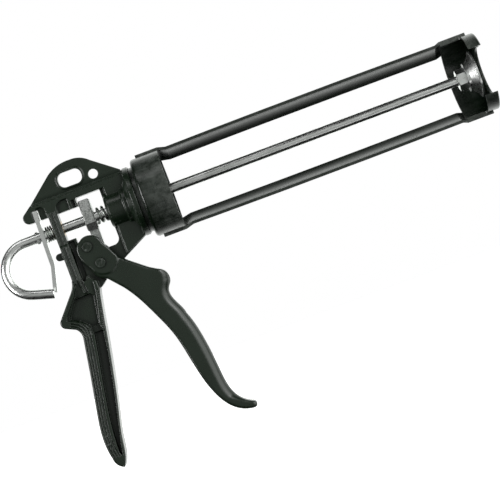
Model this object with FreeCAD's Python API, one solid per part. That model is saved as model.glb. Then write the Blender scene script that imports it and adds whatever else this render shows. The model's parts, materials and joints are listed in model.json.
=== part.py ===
import FreeCAD, Part
import math
import os

# Skeleton caulking gun for 310 ml cartridges.
# Frame: X forward along the push rod, Z up, Y across; the origin is on the rod axis, in the
# plane of the cup floor that the cartridge seats on. Millimetres throughout.

V = FreeCAD.Vector
AXIS_X = V(1, 0, 0)
AXIS_Y = V(0, 1, 0)
CENTRE = V(0, 0, 0)
BIG = 200.0                 # longer than any section that it cuts through

# ---- cradle ----
cradle_length = 247.4       # cup floor to the front face of the cap
cup_r = 27.6                # outside radius of the rear cup
cup_depth = 18.9            # cup floor to the cup's rim
cap_r = 27.3                # outside radius of the front cap
cap_depth = 23.1            # front face back to the cap's rim
sheet_t = 1.5               # pressed sheet of the cup and cap
strap_t = 2.0               # strap thickness
strap_span = 41.0           # arc of each strap, degrees
strap_inner_r = 26.0        # inside radius of the straps at the ends of the cartridge bay
strap_bow = 0.55            # how much further out the straps are half way along
strap_rear_x = 3.3          # where the straps start on the cup
strap_cap_lap = 18.3        # length of strap welded on the cap
rear_joggle = 5.8           # run in which a strap steps in from the cup
cap_joggle = 3.4            # run in which a strap steps out to the cap
nozzle_slot_r = 16.4        # half width of the slot for the cartridge's neck
front_band = 8.9            # width of the cap's wall left on the loading side

# ---- swivel between body and cradle ----
collar_r = 24.3             # body flange behind the cup
collar_t = 4.7
collar_washer_r = 23.0
collar_washer_t = 2.4
spigot_r = 10.0             # the cradle turns on this
spigot_end_x = 4.2
swivel_washer_r = 14.0
swivel_washer_t = 1.2
swivel_ring_r = 12.4
swivel_ring_t = 1.2
ring_groove_depth = 0.7
axial_play = 0.05           # between the cup floor and the washers on either side of it
radial_play = 0.10          # cup floor hole on the spigot

# ---- rod ----
rod_r = 3.5
rod_play = 0.05             # rod in its bushes
thread_proud = 0.45         # thread over the shank
thread_r = rod_r + thread_proud
nut_flat = 13.0             # width across flats
nut_height = 6.5
jam_nut_height = 3.6
thread_play = 0.05
piston_gap = 6.8            # piston's rim to the front face of the cap, the rod fully forward
piston_r = 16.2
piston_depth = 5.0          # rim ahead of the dish's flat
piston_flat_r = 9.4
piston_t = 1.2
piston_lip = 1.9            # flat ring at the rim that presses on the plunger
piston_washer_r = 9.9
piston_washer_t = 1.3
rod_tip_gap = 3.6           # rod tip to the inner face of the cap
hook_inner_r = 14.9         # inside of the hook's bend
hook_bend_r = hook_inner_r + rod_r
hook_start_x = -88.0
hook_sweep = 163.0          # degrees of bend from the rod to the hook's straight end
hook_leg = 14.6
hook_turn = -12.0           # how far the hook leans out of the body plane, degrees
stop_ear_proud = 1.0        # flattened ears on the rod that stop it at the catch plate
stop_ear_r = rod_r + stop_ear_proud
stop_ear_gap = 0.9          # ears to the catch plate
stop_ear_share = 0.72       # their width over their height
stop_ear_length = 4.6

# ---- body casting ----
fin_t = 4.0
rail_w = 13.0
rail_top_z = 22.6
rail_low_z = 16.4
lintel_z = 10.4             # underside of the thicker blocks under the rail
post_rear_x = -65.8
post_front_x = -59.3
boss_rear_x = -27.0
boss_r = 12.4
rib_rear_x = -24.4
rib_w = 13.0
web_t = 6.6
web_top_z = -9.0
recess_web_t = 3.0          # web left between the deep recesses in front of the post
pocket_floor_z = -22.5
pocket_rear_x = -53.4
rail_crown_w = 10.4         # the narrower top of the rail, under the fin
rail_crown_z = 20.8
panel_w = 9.4               # casting left between the recesses under the rail
ridge_w = 1.4               # raised ridges up the post
grip_w = 20.0
grip_step_w = 15.0          # stepped frame around the handle's upper pocket
grip_bar_w = 12.0           # cross bar between the handle's two pockets
grip_web_t = 8.0
groove_w = 0.75             # grooves down the back of the handle
groove_depth = 0.7
grip_round = 1.2
grip_length = 99.0          # thumb rest to the bottom of the handle
thumb_z = -66.7
fin_slot_length = 16.7
fin_slot_height = 10.2
fin_slot_x = -43.1
fin_slot_z = 30.7
fin_slot_lip = 0.6
hang_hole_r = 3.3
hang_hole_x = -27.3
hang_hole_z = 27.9
ridge_proud = 0.8
bush_wall = 2.0

# ---- catch (release) plate ----
catch_t = 2.8
catch_w = 15.0
catch_tail_w = 9.0
catch_top_z = 17.2
catch_x = -73.3             # mid-plane of the plate at its top
catch_bend_z = -21.0
catch_tail_z = -39.0
catch_lean = 1.5            # degrees that the locked plate leans back
catch_tail_back = 4.9       # how far the tail is bent to the rear
catch_hole_play = 0.35
groove_play = 0.7           # casting groove around the plate's top edge
catch_stop_gap = 1.9        # casting's stop to the locked plate
stop_z = -17.6

# ---- drive block ----
drive_rear_x = -43.7
drive_front_x = -36.2
drive_half_w = 8.2
drive_top_z = 13.6
drive_flat_top_z = 6.3
drive_flat_low_z = -3.2
drive_low_z = -8.2
drive_tab_z = -21.8
drive_hole_play = 0.30

# ---- springs ----
spring_play = 0.35          # drive spring on the rod
drive_spring_wire = 2.0
spring_r = rod_r + spring_play + drive_spring_wire / 2
drive_spring_turns = 6.0
catch_spring_wire = 1.3
catch_spring_turns = 3.0
spring_seat_x = -14.0       # bottom of the counterbore in the boss
spring_end_play = 0.1

# ---- trigger ----
pivot_x = -43.3
pivot_z = -30.7
pusher_dx = -4.8            # pusher pin from the pivot
pusher_dz = 13.2
pin_r = 2.6
pin_head_r = 3.4
pin_head_t = 0.7
pin_play = 0.06
roller_r = 4.8
roller_side_play = 0.35
head_w = 15.2
head_round = 1.1
lever_w = 13.6
lever_length = 128.6        # pivot down to the tip of the lever
lever_round = 1.9
cheek_play = 0.35           # trigger cheeks on the web
pocket_r = 12.4             # pocket in the handle that the trigger's boss turns in
clevis_r = 17.8             # depth of the trigger's slot around the pivot


# ---------- drawing helpers ----------

class Outline:
    """A closed outline in the XZ plane, drawn edge by edge from a start point."""

    def __init__(self, x, z):
        self.start = V(x, 0, z)
        self.here = self.start
        self.edges = []

    def line(self, *points):
        for x, z in points:
            end = V(x, 0, z)
            self.edges.append(Part.LineSegment(self.here, end).toShape())
            self.here = end
        return self

    def arc(self, via, end):
        middle = V(via[0], 0, via[1])
        last = V(end[0], 0, end[1])
        self.edges.append(Part.Arc(self.here, middle, last).toShape())
        self.here = last
        return self

    def curve(self, *points):
        knots = [self.here] + [V(x, 0, z) for x, z in points]
        spline = Part.BSplineCurve()
        spline.interpolate(knots)
        self.edges.append(spline.toShape())
        self.here = knots[-1]
        return self

    def face(self):
        if self.here.distanceToPoint(self.start) > 1e-6:
            self.line((self.start.x, self.start.z))
        return Part.Face(Part.Wire(self.edges))


def slab(outline, width, y=0.0):
    """The outline as a plate of this width, centred on y."""
    face = outline.face()
    face.translate(V(0, y - width / 2, 0))
    return face.extrude(V(0, width, 0))


def side_edges(solid, y):
    """The edges that lie in the plane at this y."""
    flat = []
    for edge in solid.Edges:
        box = edge.BoundBox
        if abs(box.YMin - y) < 1e-4 and abs(box.YMax - y) < 1e-4:
            flat.append(edge)
    return flat


def rounded_slab(outline, width, radius):
    """A plate with the rims of both its side faces rounded."""
    solid = slab(outline, width)
    for y in (-width / 2, width / 2):
        solid = solid.makeFillet(radius, side_edges(solid, y))
    return solid


def block(x0, x1, width, z0, z1):
    return Part.makeBox(x1 - x0, width, z1 - z0, V(x0, -width / 2, z0))


def disc_x(radius, x0, x1):
    return Part.makeCylinder(radius, x1 - x0, V(x0, 0, 0), AXIS_X)


def ring_x(outer, inner, x0, x1):
    return disc_x(outer, x0, x1).cut(disc_x(inner, x0 - 1, x1 + 1))


def disc_y(radius, x, z, width, y=0.0):
    return Part.makeCylinder(radius, width, V(x, y - width / 2, z), AXIS_Y)


def revolved(points, degrees=360.0, start=0.0):
    """A closed profile of (x, radius) points turned about the X axis from the +Z side."""
    wire = Part.makePolygon([V(x, 0, r) for x, r in points] + [V(points[0][0], 0, points[0][1])])
    solid = Part.Face(wire).revolve(CENTRE, AXIS_X, degrees)
    solid.rotate(CENTRE, AXIS_X, start)
    return solid


def hexagon_x(flat, x0, x1):
    """A hexagonal bar along X, with one flat facing each side."""
    corner = flat / math.sqrt(3)
    corners = []
    for i in range(7):
        angle = math.radians(60 * i + 30)
        corners.append(V(x0, corner * math.cos(angle), corner * math.sin(angle)))
    return Part.Face(Part.makePolygon(corners)).extrude(V(x1 - x0, 0, 0))


def helix_spring(mean_r, wire, turns, x0, x1):
    """Wire wound about the X axis, its outermost points at x0 and x1."""
    rise = x1 - x0 - wire
    path = Part.makeHelix(rise / turns, rise, mean_r)
    section = Part.Wire(Part.makeCircle(wire / 2, V(mean_r, 0, 0), AXIS_Y))
    sweep = Part.Wire(path.Edges).makePipeShell([section], True, True)
    sweep.rotate(CENTRE, AXIS_Y, 90)
    sweep.translate(V(x0 + wire / 2, 0, 0))
    return sweep


# ---------- body ----------

def fin():
    """The flat crest over the body, with its hang slot and hang hole."""
    crest = Outline(-75.6, lintel_z).line((-79.0, lintel_z))
    crest.arc((-82.4, 14.0), (-80.4, 17.9)).line((-72.2, 24.6), (-58.6, 35.9))
    crest.arc((-49.6, 41.2), (-39.2, 42.6)).arc((-32.0, 41.4), (-26.2, 37.6))
    crest.line((-9.0, collar_r), (-9.0, rail_low_z), (-75.6, rail_low_z))
    plate = rounded_slab(crest, fin_t, 1.0)
    lip = rounded_hole(fin_slot_length + 2.6, fin_slot_height + 2.6, fin_t + 2 * fin_slot_lip)
    window = rounded_hole(fin_slot_length, fin_slot_height, BIG)
    return plate.fuse(lip).cut(window).cut(disc_y(hang_hole_r, hang_hole_x, hang_hole_z, BIG))


def rounded_hole(length, height, width):
    """A prism with generously rounded corners, where the fin's slot is."""
    solid = block(fin_slot_x - length / 2, fin_slot_x + length / 2, width,
                  fin_slot_z - height / 2, fin_slot_z + height / 2)
    upright = [e for e in solid.Edges if e.BoundBox.YLength > width / 2]
    return solid.makeFillet(height * 0.44, upright)


def rail():
    """The thick rail under the fin and the blocks that hang from it."""
    top = block(-76.0, -8.0, rail_w, rail_low_z, rail_crown_z)
    top = top.makeFillet(0.6, [e for e in top.Edges if e.BoundBox.XLength > 50])
    crown = block(-74.0, -8.0, rail_crown_w, rail_low_z + 1, rail_top_z)
    top = top.fuse(crown.makeFillet(0.8, [e for e in crown.Edges if e.BoundBox.XLength > 50]))
    rear = block(catch_x + catch_t / 2 + groove_play, post_front_x + 2, rail_w, lintel_z, rail_low_z + 1)
    front = block(post_rear_x, drive_rear_x - 0.6, rail_w, lintel_z, rail_low_z + 1)
    nose_outline = Outline(catch_x - catch_t / 2 - groove_play, lintel_z).line((-79.0, lintel_z))
    nose_outline.arc((-82.4, 14.0), (-80.4, 17.9)).line((-75.0, 21.9), (-73.2, 21.9), (-73.2, rail_low_z + 2))
    nose_outline.line((catch_x - catch_t / 2 - groove_play, rail_low_z + 2))
    nose = rounded_slab(nose_outline, rail_w, 1.0)
    solid = top.fuse([rear, front, nose])
    for side in (-1, 1):
        for recess in rail_recesses():
            solid = solid.cut(side_cut(recess, panel_w / 2, side))
    return solid


def rail_recesses():
    """Hollows under the rail: behind the post, and in front of it below an arch."""
    rear_x = catch_x + catch_t / 2 + groove_play
    behind = Outline(rear_x - 1, lintel_z - 1).line((rear_x - 1, 18.9), (-68.6, 18.9))
    behind.arc((-67.0, 17.6), (-66.3, 13.2)).line((-66.3, lintel_z - 1))
    arch = Outline(-58.8, lintel_z - 1).line((-58.8, 13.6)).arc((-57.0, 17.0), (-53.4, 18.4))
    arch.line((-49.8, 18.4), (-49.8, lintel_z - 1))
    end = Outline(-47.8, lintel_z - 1).line((-47.8, 15.8), (-45.4, 15.8), (-45.4, lintel_z - 1))
    return (behind, arch, end)


def catch_groove():
    """Slot in the casting that the catch plate hangs and rocks in."""
    return block(catch_x - catch_t / 2 - groove_play, catch_x + catch_t / 2 + groove_play,
                 BIG, lintel_z - 5, catch_top_z + groove_play)


def post():
    """The upright behind the mechanism, with two raised ridges up each side."""
    wall = block(post_rear_x, post_front_x, rail_w, -42.0, rail_low_z)
    over_ridges = rail_w + 2 * ridge_proud
    ridges = []
    for x in (post_rear_x + 1.4, post_front_x - 1.9):
        for z0, z1 in ((web_top_z - 2.0, lintel_z + 2.6), (-38.5, web_top_z - 3.2)):
            ridge = block(x - ridge_w / 2, x + ridge_w / 2, over_ridges, z0, z1)
            ridges.append(ridge.makeFillet(0.45, ridge.Edges))
    stop_tip = catch_face_x(stop_z) + catch_stop_gap
    stop = Outline(post_rear_x + 1, stop_z + 2.6).line((stop_tip + 2.4, stop_z + 2.6))
    stop.arc((stop_tip, stop_z), (stop_tip + 2.4, stop_z - 2.6)).line((post_rear_x + 1, stop_z - 2.6))
    foot = Outline(-61.9, -38.0).line((-60.5, -38.0), (-60.2, -41.5), (-59.2, -46.2), (-60.7, -46.2), (-61.6, -41.5))
    return wall.fuse(ridges + [slab(foot, over_ridges), rounded_slab(stop, 8.0, 0.8)])


def catch_face_x(z):
    """Front face of the locked catch plate at this height."""
    return catch_x - math.tan(math.radians(catch_lean)) * (catch_top_z - z) + catch_t / 2


def grip_z(share):
    return thumb_z - share * grip_length


def grip_rear(inset):
    """The handle's back edge below the thumb rest, moved in by inset, top to bottom."""
    stations = ((-72.0, 0.055), (-72.4, 0.10), (-75.6, 0.29), (-80.7, 0.565), (-83.5, 0.80), (-82.0, 0.92))
    return [(x + inset, grip_z(share)) for x, share in stations]


def grip_front(inset):
    """The handle's front edge, moved in by inset, bottom to top."""
    stations = ((-73.9, 0.96), (-70.65, 0.80), (-66.0, 0.60), (-60.6, 0.355), (-54.4, 0.03))
    return [(x - inset, grip_z(share)) for x, share in stations]


def grip():
    """The fixed handle: a rounded I-section with a thumb rest at the back."""
    edge = Outline(post_rear_x, -30.0).line((post_rear_x, -33.8))
    edge.curve((-66.9, -39.0), (-70.2, -44.0)).line((-82.4, thumb_z + 8.4))
    edge.arc((-83.2, thumb_z + 5.4), (-81.2, thumb_z + 2.4)).line((-74.4, thumb_z - 0.8))
    edge.curve(*grip_rear(0)).arc((-78.8, grip_z(0.985)), (-76.0, grip_z(1.0)))
    edge.curve(*grip_front(0)).line((-50.8, -50.8), (-49.7, -46.8), (-49.7, -30.0))
    solid = rounded_slab(edge, grip_w, grip_round)
    levels = (
        (upper_step(), grip_step_w), (post_foot(), rail_w), (cross_bar(), grip_bar_w),
        (upper_pocket(), grip_web_t), (lower_pocket(), grip_web_t))
    for side in (-1, 1):
        for outline, width in levels:
            solid = solid.cut(side_cut(outline, width / 2, side))
        for inset in (1.3, 3.1, 5.0):
            solid = solid.cut(side_cut(rear_groove(inset), grip_w / 2 - groove_depth, side))
        solid = solid.cut(side_cut(front_groove(), grip_w / 2 - groove_depth, side))
    return solid


def side_cut(outline, level, side):
    """Everything inside the outline that is further out than this level, on one side."""
    return slab(outline, BIG, side * (level + BIG / 2))


def upper_step():
    """First step down inside the frame of the handle's upper part."""
    step = Outline(-64.6, -28.0).line((-49.0, -28.0), (-49.0, -38.0), (-52.4, -41.0), (-52.8, -47.0), (-53.8, -52.0))
    step.line((-57.2, thumb_z + 0.4), (-58.2, thumb_z - 3.0), (-65.0, thumb_z - 3.0), (-67.0, thumb_z + 0.3))
    step.line((-70.6, thumb_z + 3.2), (-78.2, thumb_z + 6.8), (-77.0, thumb_z + 10.0), (-68.6, -46.6), (-65.6, -41.0))
    return step


def post_foot():
    """Where the post runs down into the handle."""
    foot = Outline(-67.2, -28.0).line((-59.3, -28.0), (-58.8, -40.0), (-57.8, -47.2))
    return foot.line((-68.2, -47.2), (-65.2, -41.0), (-65.0, -37.2), (-67.2, -34.4))


def upper_pocket():
    """Recess behind the pivot, between the thumb rest and the front edge."""
    pocket = Outline(-68.6, -48.0).line((-57.2, -47.4), (-55.4, -49.6), (-58.0, thumb_z + 1.2), (-58.8, thumb_z - 2.6))
    pocket.line((-64.4, thumb_z - 2.6), (-66.2, thumb_z - 0.1), (-70.2, thumb_z + 3.6), (-76.2, thumb_z + 6.8))
    return pocket.line((-75.2, thumb_z + 9.4))


def cross_bar():
    """The low bar across the handle between its two pockets."""
    bar = Outline(-65.0, thumb_z - 1.8).line((-58.2, thumb_z - 1.8), (-57.2, thumb_z - 7.6))
    return bar.line((-65.0, thumb_z - 7.6))


def lower_pocket():
    """Long recess down the handle."""
    rear = grip_rear(7.7)
    front = grip_front(1.5)
    pocket = Outline(rear[0][0] + 0.4, thumb_z - 7.0).curve(*rear[2:5], (-76.2, grip_z(0.89)))
    return pocket.line((-74.8, grip_z(0.93))).curve(*front[1:4], (front[4][0] - 1.4, thumb_z - 7.0))


def rear_groove(inset):
    """A narrow groove that follows the back of the handle and turns out under the thumb rest."""
    strips = []
    for depth_in in (inset, inset + groove_w):
        turn = [(-78.4 + 0.45 * depth_in, thumb_z + 1.0 + 0.9 * depth_in),
                (-75.0 + 0.60 * depth_in, thumb_z - 0.5 + 0.8 * depth_in)]
        strips.append(turn + grip_rear(depth_in))
    near, far = strips
    return Outline(*near[0]).curve(*near[1:]).line(far[-1]).curve(*reversed(far[:-1]))


def front_groove():
    """A narrow groove beside the handle's upper front edge."""
    groove = Outline(-50.9, -46.5).line((-51.7, -51.5), (-55.4, thumb_z - 2.0), (-56.6, thumb_z - 7.5))
    return groove.line((-57.2, thumb_z - 7.5), (-56.0, thumb_z - 2.0), (-52.3, -51.5), (-51.5, -46.5))


def web():
    """The thin wall inside the trigger's clevis, from the handle to the boss."""
    edge = Outline(post_rear_x + 1, web_top_z).line((pocket_rear_x, web_top_z), (pocket_rear_x, pocket_floor_z))
    edge.line((-30.5, pocket_floor_z)).arc((-27.2, pocket_floor_z + 1.4), (-26.0, pocket_floor_z + 5.0))
    edge.line((-26.0, -8.0), (-8.0, -8.0), (-8.0, 0.6 - collar_r), (-27.6, -33.6), (-43.0, -42.2))
    edge.line((-48.0, -46.0), (-58.0, -50.0), (post_rear_x + 1, -42.0))
    return slab(edge, web_t)


def post_recess():
    """Deep recess between the post and the trigger's head."""
    front_x = pivot_x - pocket_r + 0.4
    rear_x = post_front_x + 0.3
    recess = Outline(rear_x, web_top_z - 1.2).line((front_x, web_top_z - 1.2), (front_x, -35.5))
    return recess.line((front_x - 1.4, -38.6), (rear_x + 0.4, -38.6), (rear_x, -36.0))


def ribs():
    """Upper and lower walls that carry the boss out to the collar."""
    upper = block(rib_rear_x, -8.0, rib_w, 6.0, rail_crown_z)
    lower = Outline(rib_rear_x, -6.0).line((rib_rear_x, -30.9), (-8.6, 0.6 - collar_r), (-8.0, -6.0))
    walls = [upper, slab(lower, rib_w)]
    for i, wall in enumerate(walls):
        rear = [e for e in wall.Edges if e.BoundBox.ZLength > 5 and e.BoundBox.XMax < rib_rear_x + 0.1]
        walls[i] = wall.makeChamfer(1.0, rear)
    return walls[0].fuse([walls[1], block(boss_rear_x, -8.0, web_t, 6.0, rail_low_z + 1)])


def boss():
    """The round housing for the drive spring, flaring to the collar, and the spigot."""
    collar_rear_x = -sheet_t - collar_washer_t - collar_t
    collar_front_x = collar_rear_x + collar_t
    groove_x = sheet_groove_x()
    profile = [
        (boss_rear_x, 0), (boss_rear_x, boss_r - 1.8), (boss_rear_x + 1.8, boss_r), (-15.0, boss_r),
        (-13.8, boss_r + 1.2), (-11.6, boss_r + 1.2), (-9.9, boss_r + 4.4), (collar_rear_x, boss_r + 6.0),
        (collar_rear_x, collar_r - 0.9), (collar_rear_x + 0.9, collar_r),
        (collar_front_x - 0.9, collar_r), (collar_front_x, collar_r - 0.9),
        (collar_front_x, spigot_r), (groove_x, spigot_r), (groove_x, spigot_r - ring_groove_depth),
        (groove_x + swivel_ring_t + 0.1, spigot_r - ring_groove_depth),
        (groove_x + swivel_ring_t + 0.1, spigot_r), (spigot_end_x - 0.5, spigot_r),
        (spigot_end_x, spigot_r - 0.5), (spigot_end_x, 0)]
    return revolved(profile)


def sheet_groove_x():
    """Rear wall of the retaining ring's groove in the spigot."""
    return axial_play + swivel_washer_t + 0.05


def body_casting():
    solid = fin().fuse([rail(), post(), ribs(), boss()])
    handle = grip().cut(disc_y(pocket_r, pivot_x, pivot_z, BIG))
    handle_relief = block(post_front_x - 1.6, -40.0, BIG, -36.0, 12.0)
    solid = solid.fuse([handle.cut(handle_relief), web()])
    bore = bush_bore_r()
    spring_bore = spring_r + drive_spring_wire / 2 + 0.6
    tools = [
        disc_x(bore, post_rear_x - 2, post_front_x + 2),
        disc_x(bore, boss_rear_x, spigot_end_x + 1),
        disc_x(spring_bore, boss_rear_x - 1, spring_seat_x),
        catch_groove(),
        disc_y(pin_r, pivot_x, pivot_z, BIG)]
    tools += [side_cut(post_recess(), recess_web_t / 2, side) for side in (-1, 1)]
    for tool in tools:
        solid = solid.cut(tool)
    return solid.removeSplitter()


def bush_bore_r():
    return rod_r + rod_play + bush_wall


def bush(x0, x1):
    return ring_x(bush_bore_r(), rod_r + rod_play, x0, x1)


# ---------- swivel ----------

def collar_washer():
    front_x = -sheet_t - axial_play
    rear_x = -sheet_t - collar_washer_t
    return ring_x(collar_washer_r, spigot_r, rear_x, front_x)


def swivel_washer():
    return ring_x(swivel_washer_r, spigot_r, axial_play, axial_play + swivel_washer_t)


def swivel_ring():
    """Open retaining ring in the spigot's groove."""
    x0 = sheet_groove_x()
    ring = ring_x(swivel_ring_r, spigot_r - ring_groove_depth, x0, x0 + swivel_ring_t)
    return ring.cut(block(x0 - 1, x0 + swivel_ring_t + 1, 5.0, 2.0, swivel_ring_r + 2))


# ---------- cradle ----------

def rear_cup():
    corner = 2.4
    outer = disc_x(cup_r, -sheet_t, cup_depth)
    outer = outer.makeFillet(corner, [e for e in outer.Edges if e.BoundBox.XMax < -sheet_t + 0.1])
    inner = disc_x(cup_r - sheet_t, 0, cup_depth + 1)
    inner = inner.makeFillet(corner - sheet_t, [e for e in inner.Edges if e.BoundBox.XMax < 0.1])
    return outer.cut(inner).cut(disc_x(spigot_r + radial_play, -sheet_t - 1, 1))


def strap(start):
    """A curved strap: welded on the cup, stepped in along the cartridge, out again on the cap."""
    cap_rear_x = cradle_length - cap_depth
    strap_front_x = cap_rear_x + strap_cap_lap
    bay_rear_x = cup_depth + 0.3 + rear_joggle
    bay_front_x = cap_rear_x - 0.3 - cap_joggle
    runs = [(strap_rear_x, cup_r), (cup_depth + 0.3, cup_r)]
    for share in (0.0, 0.15, 0.35, 0.65, 0.85, 1.0):
        bow = strap_bow * 4 * share * (1 - share)
        runs.append((bay_rear_x + share * (bay_front_x - bay_rear_x), strap_inner_r + bow))
    runs += [(cap_rear_x - 0.3, cap_r), (strap_front_x, cap_r)]
    outside = [(x, r + strap_t) for x, r in reversed(runs)]
    return revolved(runs + outside, strap_span, start)


def front_cap():
    """The front ring: open on the loading side, with a slot through its face for the neck."""
    rear_x = cradle_length - cap_depth
    inner_face_x = cradle_length - sheet_t
    shell = disc_x(cap_r, rear_x, cradle_length)
    shell = shell.makeFillet(1.4, [e for e in shell.Edges if e.BoundBox.XMin > cradle_length - 0.1])
    shell = shell.cut(disc_x(cap_r - sheet_t, rear_x - 1, inner_face_x))
    loading = Part.makeBox(cap_depth - front_band + 1, BIG, BIG, V(rear_x - 1, -BIG, -BIG / 2))
    loading = loading.makeFillet(2.0, [e for e in loading.Edges
                                       if e.BoundBox.ZLength > 1 and e.BoundBox.XMin > rear_x
                                       and e.BoundBox.YMin > -1])
    slot = Part.makeBox(cap_depth, BIG, 2 * nozzle_slot_r, V(rear_x + 1, -BIG, -nozzle_slot_r))
    neck = disc_x(nozzle_slot_r, inner_face_x - 1, cradle_length + 1)
    return shell.cut(loading).cut(slot).cut(neck)


# ---------- rod ----------

def rod_tip_x():
    return cradle_length - sheet_t - rod_tip_gap


def piston_rim_x():
    return cradle_length - piston_gap


def piston_flat_x():
    """Rear face of the piston's flat."""
    return piston_rim_x() - piston_depth - piston_t


def push_rod():
    """Rod with a thread at the front and a hook bent at the rear."""
    rear_nut_x = piston_flat_x() - piston_washer_t - nut_height
    shank = disc_x(rod_r, hook_start_x, rear_nut_x)
    tip = disc_x(thread_r, rear_nut_x, rod_tip_x())
    tip = tip.makeChamfer(0.6, [e for e in tip.Edges if e.BoundBox.XMin > rod_tip_x() - 0.1])
    return shank.fuse([tip, hook(), stop_ears()])


def hook():
    centre_z = -hook_bend_r
    sweep = math.radians(hook_sweep)
    start = V(hook_start_x, 0, 0)
    middle = bend_point(centre_z, sweep / 2)
    finish = bend_point(centre_z, sweep)
    heading = V(-math.cos(sweep), 0, -math.sin(sweep))
    leg_end = finish + heading * hook_leg
    path = Part.Wire([Part.Arc(start, middle, finish).toShape(),
                      Part.LineSegment(finish, leg_end).toShape()])
    section = Part.Wire(Part.makeCircle(rod_r, start, AXIS_X))
    solid = path.makePipeShell([section], True, True)
    last = [e for e in solid.Edges if (e.CenterOfMass - leg_end).Length < 0.5]
    solid = solid.makeFillet(0.7, last)
    solid.rotate(CENTRE, AXIS_X, hook_turn)
    return solid


def bend_point(centre_z, angle):
    return V(hook_start_x - hook_bend_r * math.sin(angle), 0, centre_z + hook_bend_r * math.cos(angle))


def stop_ears():
    """The rod pinched flat just behind the catch plate, so that it can't pull through."""
    front_x = catch_x - catch_t / 2 - stop_ear_gap
    squeezed = Part.makeSphere(stop_ear_r)
    matrix = FreeCAD.Matrix()
    matrix.scale(stop_ear_length / 2 / stop_ear_r, stop_ear_share, 1.0)
    squeezed = squeezed.transformGeometry(matrix)
    squeezed.translate(V(front_x - stop_ear_length / 2, 0, 0))
    squeezed.rotate(CENTRE, AXIS_X, hook_turn)
    return squeezed


def nut(x0, height):
    """A chamfered hexagon nut on the rod's thread."""
    body = hexagon_x(nut_flat, x0, x0 + height)
    corner = nut_flat / math.sqrt(3)
    crown = revolved([(x0, 0), (x0, corner - 1.0), (x0 + 0.6, corner + 0.05),
                      (x0 + height - 0.6, corner + 0.05), (x0 + height, corner - 1.0), (x0 + height, 0)])
    return body.common(crown).cut(disc_x(thread_r + thread_play, x0 - 1, x0 + height + 1))


def piston_washer():
    x1 = piston_flat_x()
    return ring_x(piston_washer_r, thread_r + thread_play, x1 - piston_washer_t, x1)


def piston():
    """Dished pressing whose rim pushes the cartridge's plunger."""
    x0 = piston_flat_x()
    x1 = piston_rim_x()
    bore = thread_r + thread_play
    cone_end_r = piston_r - piston_lip
    return revolved([
        (x0, bore), (x0, piston_flat_r), (x1 - piston_t, cone_end_r), (x1 - piston_t, piston_r),
        (x1, piston_r), (x1, cone_end_r - 0.6), (x0 + piston_t, piston_flat_r - 0.6), (x0 + piston_t, bore)])


# ---------- catch and drive ----------

def catch_plate():
    """The plate that locks the rod, its tail bent back for the thumb."""
    lean = math.tan(math.radians(catch_lean))
    top = (catch_x, catch_top_z)
    knee = (catch_x - lean * (catch_top_z - catch_bend_z), catch_bend_z)
    tail = (knee[0] - catch_tail_back, catch_tail_z)
    half = catch_t / 2
    outline = Outline(top[0] - half, top[1]).line((top[0] + half, top[1]), (knee[0] + half, knee[1]))
    outline.line((tail[0] + half, tail[1]), (tail[0] - half, tail[1] + 0.4), (knee[0] - half, knee[1] - 0.4))
    solid = slab(outline, catch_w)
    creases = [e for e in solid.Edges if e.BoundBox.YLength > catch_w / 2 and catch_tail_z + 2 < e.BoundBox.ZMin < 0]
    solid = solid.makeFillet(6.0, creases)
    front = Part.makePolygon([V(-BIG, y, z) for y, z in (
        (-catch_w / 2, catch_top_z), (catch_w / 2, catch_top_z), (catch_w / 2, catch_bend_z + 6),
        (catch_tail_w / 2, catch_tail_z), (-catch_tail_w / 2, catch_tail_z),
        (-catch_w / 2, catch_bend_z + 6), (-catch_w / 2, catch_top_z))])
    solid = solid.common(Part.Face(front).extrude(V(2 * BIG, 0, 0)))
    return solid.cut(disc_x(rod_r + catch_hole_play, catch_x - 20, catch_x + 20))


def drive_block():
    """Faceted block that grips the rod, with a tab down to the trigger's roller."""
    half = drive_half_w
    corners = [(-half, drive_flat_top_z), (-4.6, drive_top_z), (4.6, drive_top_z), (half, drive_flat_top_z),
               (half, drive_flat_low_z), (5.2, drive_low_z), (-5.2, drive_low_z), (-half, drive_flat_low_z)]
    loop = Part.makePolygon([V(drive_rear_x, y, z) for y, z in corners + corners[:1]])
    body = Part.Face(loop).extrude(V(drive_front_x - drive_rear_x, 0, 0))
    body = body.makeChamfer(0.8, [e for e in body.Edges if e.BoundBox.XLength < 0.01])
    tab_rear_x = pivot_x + pusher_dx + roller_r + 0.3
    tab_w = web_t - 2 * roller_side_play
    tab = block(tab_rear_x, drive_front_x - 0.4, tab_w, drive_tab_z, drive_low_z + 2)
    return body.fuse(tab).cut(disc_x(rod_r + drive_hole_play, drive_rear_x - 1, drive_front_x + 1)).removeSplitter()


def drive_spring():
    return helix_spring(spring_r, drive_spring_wire, drive_spring_turns,
                        drive_front_x + spring_end_play, spring_seat_x - spring_end_play)


def catch_spring():
    x0 = catch_face_x(-spring_r - catch_spring_wire) + 0.35
    return helix_spring(spring_r, catch_spring_wire, catch_spring_turns, x0, post_rear_x - spring_end_play)


# ---------- trigger ----------

def trigger():
    head = rounded_slab(head_outline(), head_w, head_round)
    lever = rounded_slab(lever_outline(), lever_w, lever_round)
    slot_w = web_t + 2 * cheek_play
    solid = head.fuse(lever).cut(disc_y(clevis_r, pivot_x, pivot_z, slot_w))
    solid = solid.cut(block(pivot_x - 20, pivot_x + 15, slot_w, pivot_z, pivot_z + 30))
    solid = solid.cut(disc_y(pin_r + pin_play, pivot_x, pivot_z, BIG))
    return solid.cut(disc_y(pin_r, pivot_x + pusher_dx, pivot_z + pusher_dz, BIG)).removeSplitter()


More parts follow.
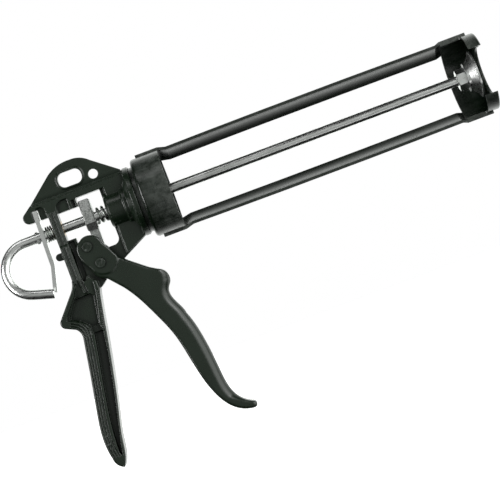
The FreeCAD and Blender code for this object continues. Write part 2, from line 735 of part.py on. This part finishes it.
def head_outline():
    """The trigger's raised head around its two pins."""
    px = pivot_x
    pz = pivot_z
    edge = Outline(px - 8.2, pz + 18.7).curve((px - 5.1, pz + 20.4), (px + 1.4, pz + 19.4), (px + 5.8, pz + 12.5))
    edge.line((px + 8.5, pz + 8.3), (px + 12.2, pz + 1.0))
    edge.arc((px + 8.9, pz - 6.6), (px + 0.3, pz - 8.4)).arc((px - 4.0, pz - 6.6), (px - 7.4, pz - 1.4))
    edge.curve((px - 10.0, pz + 2.6), (px - 12.4, pz + 8.4), (px - 12.3, pz + 13.9), (px - 8.2, pz + 18.7))
    return edge


def lever_point(dx, share):
    return (pivot_x + dx, pivot_z - share * lever_length)


def lever_outline():
    """The finger lever, from the pivot boss down to its curled tip."""
    p = lever_point
    edge = Outline(*p(12.0, -0.005)).line(p(16.0, 0.024), p(29.3, 0.108), p(35.0, 0.135))
    edge.arc(p(40.0, 0.178), p(38.6, 0.232)).curve(p(36.5, 0.272), p(37.6, 0.312), p(42.4, 0.405))
    edge.curve(p(47.4, 0.553), p(50.1, 0.738), p(54.0, 0.890), p(64.4, 0.962))
    edge.arc(p(66.0, 0.984), p(63.6, 0.999))
    edge.curve(p(49.3, 0.949), p(40.8, 0.844), p(35.0, 0.685), p(28.9, 0.474), p(22.6, 0.358), p(16.3, 0.257),
               p(8.4, 0.162))
    edge.line((pivot_x + 0.3, pivot_z - 11.6)).arc((pivot_x - 6.4, pivot_z - 6.0), (pivot_x - 7.0, pivot_z - 1.0))
    return edge


def pin(x, z):
    """A rivet with a dished head on both sides of the trigger's head."""
    span = head_w + 0.4
    solid = disc_y(pin_r, x, z, span)
    for side in (-1, 1):
        head = disc_y(pin_head_r, x, z, pin_head_t, side * (span / 2 + pin_head_t / 2))
        head = head.makeFillet(0.3, head.Edges)
        dimple = disc_y(pin_r - 0.7, x, z, 0.6, side * (span / 2 + pin_head_t))
        solid = solid.fuse(head).cut(dimple)
    return solid


def pusher_roller():
    width = web_t - 2 * roller_side_play
    x = pivot_x + pusher_dx
    z = pivot_z + pusher_dz
    return disc_y(roller_r, x, z, width).cut(disc_y(pin_r + pin_play, x, z, BIG))


# ---------- all pieces ----------

def pieces():
    nut_x = piston_flat_x() - piston_washer_t - nut_height
    return {
        "body_casting": body_casting(),
        "rear_bush": bush(post_rear_x, post_front_x),
        "front_bush": bush(spring_seat_x, spigot_end_x),
        "collar_washer": collar_washer(),
        "swivel_washer": swivel_washer(),
        "swivel_ring": swivel_ring(),
        "rear_cup": rear_cup(),
        "strap_upper": strap(-strap_span),
        "strap_lower": strap(180.0),
        "front_cap": front_cap(),
        "push_rod": push_rod(),
        "rod_nut": nut(nut_x, nut_height),
        "piston_washer": piston_washer(),
        "piston": piston(),
        "piston_jam_nut": nut(piston_flat_x() + piston_t, jam_nut_height),
        "catch_plate": catch_plate(),
        "catch_spring": catch_spring(),
        "drive_block": drive_block(),
        "drive_spring": drive_spring(),
        "trigger": trigger(),
        "pivot_pin": pin(pivot_x, pivot_z),
        "pusher_pin": pin(pivot_x + pusher_dx, pivot_z + pusher_dz),
        "pusher_roller": pusher_roller(),
    }


def main():
    os.makedirs("parts", exist_ok=True)
    for name, shape in pieces().items():
        if not shape.isValid() or len(shape.Solids) != 1:
            print("check", name, shape.isValid(), len(shape.Solids))
        shape.exportStep(f"parts/{name}.step")


main()
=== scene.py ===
import json
import math

import bpy
import numpy as np
from mathutils import Matrix, Vector


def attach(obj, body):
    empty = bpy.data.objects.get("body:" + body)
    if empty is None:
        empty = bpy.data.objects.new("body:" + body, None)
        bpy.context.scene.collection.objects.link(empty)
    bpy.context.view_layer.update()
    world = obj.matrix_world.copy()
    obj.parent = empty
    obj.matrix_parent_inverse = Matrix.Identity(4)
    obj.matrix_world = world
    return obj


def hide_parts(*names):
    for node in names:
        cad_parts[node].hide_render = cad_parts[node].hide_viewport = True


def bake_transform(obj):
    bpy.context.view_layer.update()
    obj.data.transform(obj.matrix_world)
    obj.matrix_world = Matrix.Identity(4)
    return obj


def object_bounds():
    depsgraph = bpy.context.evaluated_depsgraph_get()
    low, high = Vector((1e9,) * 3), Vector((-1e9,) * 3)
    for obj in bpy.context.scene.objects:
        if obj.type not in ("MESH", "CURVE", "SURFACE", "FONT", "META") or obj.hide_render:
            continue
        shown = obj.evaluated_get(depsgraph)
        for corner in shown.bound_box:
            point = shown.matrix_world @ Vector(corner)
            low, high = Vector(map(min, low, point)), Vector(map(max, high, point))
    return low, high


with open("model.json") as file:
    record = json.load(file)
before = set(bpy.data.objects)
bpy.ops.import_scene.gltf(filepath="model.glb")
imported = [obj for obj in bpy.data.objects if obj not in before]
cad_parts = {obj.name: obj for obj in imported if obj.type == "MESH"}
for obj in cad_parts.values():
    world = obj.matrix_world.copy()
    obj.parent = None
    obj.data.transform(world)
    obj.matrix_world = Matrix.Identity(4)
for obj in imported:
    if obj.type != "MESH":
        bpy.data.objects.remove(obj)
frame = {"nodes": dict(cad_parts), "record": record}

cad_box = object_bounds()
nodes = frame["nodes"]
scene = bpy.context.scene
slot_of = {entry["node"]: entry["material_slot"] for entry in frame["record"]["subparts"]}


# ---------- node trees ----------

def add_node(tree, kind, inputs=None, **settings):
    """A node with its settings made and its inputs set, or linked where a socket is given."""
    made = tree.nodes.new(kind)
    for key, value in settings.items():
        setattr(made, key, value)
    for key, value in (inputs or {}).items():
        if isinstance(value, bpy.types.NodeSocket):
            tree.links.new(value, made.inputs[key])
        else:
            made.inputs[key].default_value = value
    return made


class Shader:
    """A material whose principled shader is in place, and the parts that the finishes share."""

    def __init__(self, name):
        self.material = bpy.data.materials.new(name)
        self.material.use_nodes = True
        self.tree = self.material.node_tree
        self.tree.nodes.clear()
        self.output = self.tree.nodes.new("ShaderNodeOutputMaterial")
        self.bsdf = self.tree.nodes.new("ShaderNodeBsdfPrincipled")
        self.tree.links.new(self.bsdf.outputs[0], self.output.inputs[0])
        self.coords = self.tree.nodes.new("ShaderNodeTexCoord").outputs["Object"]

    def set(self, **values):
        for key, value in values.items():
            self.bsdf.inputs[key.replace("_", " ")].default_value = value

    def link(self, source, socket):
        self.tree.links.new(source, self.bsdf.inputs[socket])

    def node(self, kind, inputs=None, **settings):
        return add_node(self.tree, kind, inputs, **settings)

    def math(self, operation, a, b):
        return self.node("ShaderNodeMath", {0: a, 1: b}, operation=operation).outputs[0]

    def noise(self, scale, detail=3.0, rough=0.5, stretch=None):
        coords = self.coords
        if stretch:
            mapping = {"Vector": coords, "Scale": stretch}
            coords = self.node("ShaderNodeMapping", mapping).outputs[0]
        inputs = {"Vector": coords, "Scale": scale, "Detail": detail, "Roughness": rough}
        return self.node("ShaderNodeTexNoise", inputs).outputs["Fac"]

    def remap(self, value, low, high, to_low, to_high):
        inputs = {"Value": value, "From Min": low, "From Max": high,
                  "To Min": to_low, "To Max": to_high}
        return self.node("ShaderNodeMapRange", inputs).outputs[0]

    def mix(self, factor, a, b):
        made = self.node("ShaderNodeMix", data_type="RGBA")
        sockets = [s for s in made.inputs if s.type == "RGBA"]
        for socket, colour in zip(sockets, (a, b)):
            if isinstance(colour, bpy.types.NodeSocket):
                self.tree.links.new(colour, socket)
            else:
                socket.default_value = (*colour, 1.0)
        self.tree.links.new(factor, made.inputs[0])
        return [s for s in made.outputs if s.type == "RGBA"][0]

    def bump(self, *layers):
        normal = None
        for height, strength, distance in layers:
            inputs = {"Height": height, "Strength": strength, "Distance": distance}
            if normal is not None:
                inputs["Normal"] = normal
            normal = self.node("ShaderNodeBump", inputs).outputs[0]
        self.link(normal, "Normal")


# ---------- finishes: noise scales in cycles a metre, lengths in metres ----------

mottle_scale = 38.0
spray_scale = 900.0
wear_and_highlight_scale = 160.0
peel_scale = 210.0
spray_height = 0.00006
peel_height = 0.00035
edge_pointiness = (0.525, 0.59)        # where an edge is sharp enough to lighten, as rubbed wear and as a painted highlight
# how strongly sharp edges are lightened, and to what colour: partly rubbed wear, partly a painted
# highlight
wear_and_highlight_share = 0.62
wear_and_highlight_colour = (0.115, 0.125, 0.115)
painted_shade_reach = 0.0032                  # how far the painted shade reaches out from a wall
# painted shade: how steeply it darkens a recess
painted_shade_power = 1.8
# painted shade: how dark it makes the colour in a recess
painted_shade_darkness = 0.35
painted_shade_gloss = (0.10, 0.55)            # painted shade on the reflection: specular level in a recess, in the open

stain_scale = 60.0
drawn_scale = 700.0
plain_scale = 420.0
plate_height = 0.00008
drawn_along_x = (0.10, 1.0, 1.0)

grain_scale = 1300.0
pit_scale = 950.0
grain_height = 0.00020
pit_height = 0.00015


def satin_black(name, base, lift, rough, grain, peel):
    """Satin paint: faint mottling, a fine sprayed texture, sharp edges lightened as rubbed wear and
    as a painted highlight, and painted shade that darkens and dulls the recesses.
    """
    s = Shader(name)
    broad = s.noise(mottle_scale, 4.0)
    fine = s.noise(spray_scale, 2.0)
    # Sharp edges lightened in patches: partly rubbed wear, partly a painted highlight.
    pointy = s.node("ShaderNodeNewGeometry").outputs["Pointiness"]
    edge = s.remap(pointy, *edge_pointiness, 0.0, 1.0)
    patches = s.remap(s.noise(wear_and_highlight_scale, 5.0, 0.7), 0.36, 0.60, 0.15, 1.0)
    wear_and_highlight = s.math("MULTIPLY", s.math("MULTIPLY", edge, patches), wear_and_highlight_share)
    # Ambient occlusion paints shade into recesses: a darker colour and a dimmer reflection there.
    inputs = {"Distance": painted_shade_reach}
    unshaded_share = s.node("ShaderNodeAmbientOcclusion", inputs, samples=8).outputs["AO"]
    unshaded_share = s.math("POWER", unshaded_share, painted_shade_power)
    unshaded_tone = s.mix(s.remap(broad, 0.3, 0.7, 0.0, 1.0), base, lift)
    painted_shade_tone = s.mix(unshaded_share, [channel * painted_shade_darkness for channel in base], unshaded_tone)
    s.link(s.mix(wear_and_highlight, painted_shade_tone, wear_and_highlight_colour), "Base Color")
    s.link(s.remap(s.math("ADD", broad, fine), 0.7, 1.3, rough - 0.05, rough + 0.07), "Roughness")
    # Painted shade on the reflection: less specular in recesses.
    s.link(s.remap(unshaded_share, 0.0, 1.0, *painted_shade_gloss), "Specular IOR Level")
    s.bump((fine, grain, spray_height), (s.noise(peel_scale, 2.0), peel, peel_height))
    return s.material


def plated(name, colour, shade, rough, drawn=None, grain=0.05):
    """Bright plate over steel, with drawing marks and small stains."""
    s = Shader(name)
    marks = s.noise(drawn_scale, 3.0, 0.6, drawn) if drawn else s.noise(plain_scale, 4.0, 0.6)
    cloud = s.noise(stain_scale, 4.0)
    s.link(s.mix(s.remap(cloud, 0.35, 0.75, 0.0, 1.0), colour, shade), "Base Color")
    s.link(s.remap(marks, 0.3, 0.7, rough - 0.05, rough + 0.09), "Roughness")
    s.bump((marks, grain, plate_height))
    s.set(Metallic=1.0)
    return s.material


def grainy_steel(name, dark, bright):
    """Plated sintered steel: a sparkling, pitted grain."""
    s = Shader(name)
    grain = s.noise(grain_scale, 4.0, 0.7)
    inputs = {"Vector": s.coords, "Scale": pit_scale}
    pits = s.node("ShaderNodeTexVoronoi", inputs).outputs["Distance"]
    s.link(s.mix(s.remap(grain, 0.35, 0.65, 0.0, 1.0), dark, bright), "Base Color")
    s.link(s.remap(grain, 0.3, 0.7, 0.30, 0.52), "Roughness")
    s.bump((grain, 0.5, grain_height), (pits, 0.3, pit_height))
    s.set(Metallic=1.0)
    return s.material


materials = {
    "black_casting": satin_black("cast_satin_black", (0.0050, 0.0115, 0.0052),
                                 (0.0072, 0.0150, 0.0075), 0.29, 0.22, 0.11),
    "black_sheet": satin_black("sheet_satin_black", (0.0024, 0.0064, 0.0026),
                               (0.0034, 0.0082, 0.0037), 0.28, 0.04, 0.0),
    "plated_steel": plated("bright_plate", (0.88, 0.89, 0.88), (0.62, 0.64, 0.62), 0.28,
                           drawn_along_x, 0.04),
    "spring_steel": plated("spring_wire", (0.30, 0.32, 0.30), (0.18, 0.20, 0.18), 0.28),
    "sintered_steel": grainy_steel("grainy_plate", (0.20, 0.21, 0.20), (0.62, 0.64, 0.62)),
    "bronze_bush": plated("oiled_bronze", (0.45, 0.31, 0.14), (0.30, 0.20, 0.09), 0.34),
    "black_pin": satin_black("pin_black", (0.0065, 0.0130, 0.0068),
                             (0.0095, 0.0180, 0.0098), 0.38, 0.12, 0.05),
}


def paint(obj, slot_name):
    obj.data.materials.clear()
    obj.data.materials.append(materials[slot_name])
    for polygon in obj.data.polygons:
        polygon.material_index = 0


for name, obj in nodes.items():
    if not obj.material_slots:
        paint(obj, slot_of[name])
    for slot in obj.material_slots:
        slot.material = materials[slot_of[name]]


# ---------- rounded castings, springs ----------

casting_voxel = 0.00030
lever_voxel = 0.00040
lever_round = 0.0066                   # how far the rounding runs back from the front edge
lever_round_top_z = -0.046
lever_round_low_z = -0.156
lever_round_fade = 0.010               # height over which the rounding comes and goes
front_step = 0.0008                    # height of the slices that find the front edge
front_span = 7                         # slices averaged for a smooth edge
tip_share = 0.25                       # least part of the rounding left at the tip
even_rounds = 10


def copy_mesh(node, name):
    """A mesh of its own with the node's shape, in the same finish."""
    mesh = nodes[node].data.copy()
    obj = bpy.data.objects.new(name, mesh)
    scene.collection.objects.link(obj)
    paint(obj, slot_of[node])
    return obj


def soften(obj, name, rounds):
    smooth = obj.modifiers.new(name, "SMOOTH")
    smooth.factor = 0.5
    smooth.iterations = rounds


def as_cast(node, name, body, voxel, rounds):
    """The node's shape with its edges rounded as a casting's are."""
    obj = copy_mesh(node, name)
    remesh = obj.modifiers.new("skin", "REMESH")
    remesh.mode = "VOXEL"
    remesh.voxel_size = voxel
    remesh.use_smooth_shade = True
    soften(obj, "soften", rounds)
    graph = bpy.context.evaluated_depsgraph_get()
    mesh = bpy.data.meshes.new_from_object(obj.evaluated_get(graph))
    obj.modifiers.clear()
    obj.data = mesh
    paint(obj, slot_of[node])
    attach(obj, body)
    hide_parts(node)
    return obj


def front_edge(points):
    """The (x, z) points along the lever's front, smoothed."""
    levels = np.arange(points[:, 2].min(), lever_round_top_z, front_step)
    rows = np.digitize(points[:, 2], levels)
    front = np.full(len(levels) + 1, np.nan)
    for row in range(1, len(levels) + 1):
        inside = points[rows == row, 0]
        if len(inside):
            front[row] = inside.max()
    known = ~np.isnan(front)
    heights = levels[0] + (np.arange(len(front)) - 0.5) * front_step
    padded = np.pad(front[known], front_span // 2, mode="edge")
    mean = np.convolve(padded, np.ones(front_span) / front_span, mode="valid")
    return np.column_stack((mean, heights[known]))


def round_front(lever):
    """Rounds the lever's front edge well back over its sides, as far as a finger feels it."""
    points = np.empty(len(lever.data.vertices) * 3)
    lever.data.vertices.foreach_get("co", points)
    points = points.reshape(-1, 3)
    height = points[:, 2]
    low_part = height < lever_round_top_z
    flat = points[low_part][:, (0, 2)]
    nearest = np.full(len(flat), 1.0)
    for x, z in front_edge(points):
        nearest = np.minimum(nearest, np.hypot(flat[:, 0] - x, flat[:, 1] - z))
    from_edge = np.full(len(points), 1.0)
    from_edge[low_part] = nearest
    half = np.abs(points[height < lever_round_top_z - 2 * lever_round_fade, 1]).max()
    reach = lever_round * np.clip((height - lever_round_low_z) / lever_round_fade, tip_share, 1.0)
    reach = reach * np.clip((lever_round_top_z - height) / lever_round_fade, 0.0, 1.0) + 1e-9
    depth = np.clip(from_edge / reach, 0.0, 1.0)
    limit = half - reach * (1.0 - np.sqrt(np.maximum(1.0 - (1.0 - depth) ** 2, 0.0)))
    limit = np.where(from_edge < reach, limit, np.inf)
    points[:, 1] = np.clip(points[:, 1], -limit, limit)
    lever.data.vertices.foreach_set("co", points.ravel())
    lever.data.update()
    soften(lever, "even", even_rounds)


def stretched_spring(node, name):
    """A copy of the coil with its rest placing baked into the mesh, shown in place of the part's
    coil.
    """
    obj = copy_mesh(node, name)
    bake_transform(obj)
    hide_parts(node)


as_cast("body_casting", "casting_skin", "body", casting_voxel, 2)
round_front(as_cast("trigger", "lever_skin", "trigger_lever", lever_voxel, 4))
stretched_spring("drive_spring", "drive_coil")
stretched_spring("catch_spring", "catch_coil")


# ---------- stage ----------

low, high = cad_box
middle = (low + high) / 2
floor_drop = 0.25
floor_side = 14.0
floor_white = (0.95, 0.95, 0.95, 1.0)


def faced(name, data, centre, target, axis):
    """A new object at a point, with one of its axes turned towards another point."""
    obj = bpy.data.objects.new(name, data)
    scene.collection.objects.link(obj)
    obj.location = centre
    obj.rotation_mode = "QUATERNION"
    obj.rotation_quaternion = (Vector(target) - Vector(centre)).to_track_quat(axis, "Y")
    return obj


def lay_floor():
    """A white sheet far below, which neither lights the part nor shows in it."""
    white = Shader("floor_white")
    white.set(Base_Color=floor_white, Roughness=0.9, Emission_Color=floor_white,
              Emission_Strength=1.0)
    mesh = bpy.data.meshes.new("floor")
    half = floor_side / 2
    corners = [(-half, -half, 0), (half, -half, 0), (half, half, 0), (-half, half, 0)]
    mesh.from_pydata(corners, [], [(0, 1, 2, 3)])
    floor_z = low.z - floor_drop
    obj = faced("floor", mesh, (0.0, 0.0, floor_z), (0.0, 0.0, floor_z + 1.0), "Z")
    mesh.materials.append(white.material)
    obj.visible_glossy = False
    obj.visible_diffuse = False


lay_floor()

# each lobe: direction, cosines at its edge and core, brightness at its edge and core
front_lobe = ((0.08, -1.0, 0.06), 0.70, 0.99, 0.008, 0.40)
back_lobe = ((0.35, 1.0, 0.0), 0.25, 0.90, 0.0, 1.7)
side_lobe = ((0.86, -0.50, 0.12), 0.76, 0.97, 0.0, 2.6)
studio_tint = (0.97, 1.0, 0.97)

# each softbox: name, place, width and height, power in watts
softboxes = (
    ("left_strip", (-1.1, -0.62, 0.15), (0.32, 0.9), 13.0),
    ("front_right", (1.0, -1.10, 0.55), (0.60, 0.60), 5.0),
    ("top_strip", (-0.3, -0.45, 1.0), (0.8, 0.30), 1.6),
    ("low_front", (0.45, -0.9, -0.85), (0.9, 0.35), 1.2),
)


def studio():
    """A world that is white to the camera and lights the part from a few directions."""
    world = bpy.data.worlds.new("studio_white")
    world.use_nodes = True
    tree = world.node_tree
    tree.nodes.clear()
    direction = add_node(tree, "ShaderNodeTexCoord").outputs["Generated"]

    def lobe(towards, edge, core, low_value, high_value):
        towards = Vector(towards).normalized()
        dot = add_node(tree, "ShaderNodeVectorMath", {0: direction, 1: towards},
                       operation="DOT_PRODUCT").outputs["Value"]
        inputs = {"Value": dot, "From Min": edge, "From Max": core,
                  "To Min": low_value, "To Max": high_value}
        return add_node(tree, "ShaderNodeMapRange", inputs,
                        interpolation_type="SMOOTHSTEP").outputs[0]

    def total(a, b):
        return add_node(tree, "ShaderNodeMath", {0: a, 1: b}, operation="ADD").outputs[0]

    glow = total(total(lobe(*front_lobe), lobe(*back_lobe)), lobe(*side_lobe))
    tint = add_node(tree, "ShaderNodeVectorMath", {0: studio_tint, "Scale": glow},
                    operation="SCALE").outputs[0]
    lit = add_node(tree, "ShaderNodeBackground", {0: tint, 1: 1.0}).outputs[0]
    seen = add_node(tree, "ShaderNodeBackground", {0: (1.0, 1.0, 1.0, 1.0), 1: 1.0}).outputs[0]
    to_camera = add_node(tree, "ShaderNodeLightPath").outputs["Is Camera Ray"]
    either = add_node(tree, "ShaderNodeMixShader", {0: to_camera, 1: lit, 2: seen}).outputs[0]
    add_node(tree, "ShaderNodeOutputWorld", {0: either})
    return world


scene.world = studio()

for name, centre, size, power in softboxes:
    data = bpy.data.lights.new(name, "AREA")
    data.shape = "RECTANGLE"
    data.size, data.size_y = size
    data.energy = power
    faced(name, data, centre, middle, "-Z")

scene.view_settings.view_transform = "Standard"
scene.view_settings.look = "None"


# ---------- camera ----------

distance = 1.35
aim_x = 0.0544
aim_z = -0.0581
field = 0.34                           # width that the picture spans at the rod's plane
roll = math.radians(20.55)
sensor_width = 36.0

camera_data = bpy.data.cameras.new("camera")
camera = bpy.data.objects.new("camera", camera_data)
scene.collection.objects.link(camera)
scene.camera = camera
camera_data.sensor_width = sensor_width
camera_data.lens = sensor_width * distance / field
camera_data.clip_start = 0.05
camera_data.clip_end = 60.0
camera.location = (aim_x, -distance, aim_z)
right = Vector((math.cos(roll), 0.0, -math.sin(roll)))
up = Vector((math.sin(roll), 0.0, math.cos(roll)))
camera.rotation_mode = "QUATERNION"
camera.rotation_quaternion = Matrix((right, up, right.cross(up))).transposed().to_quaternion()
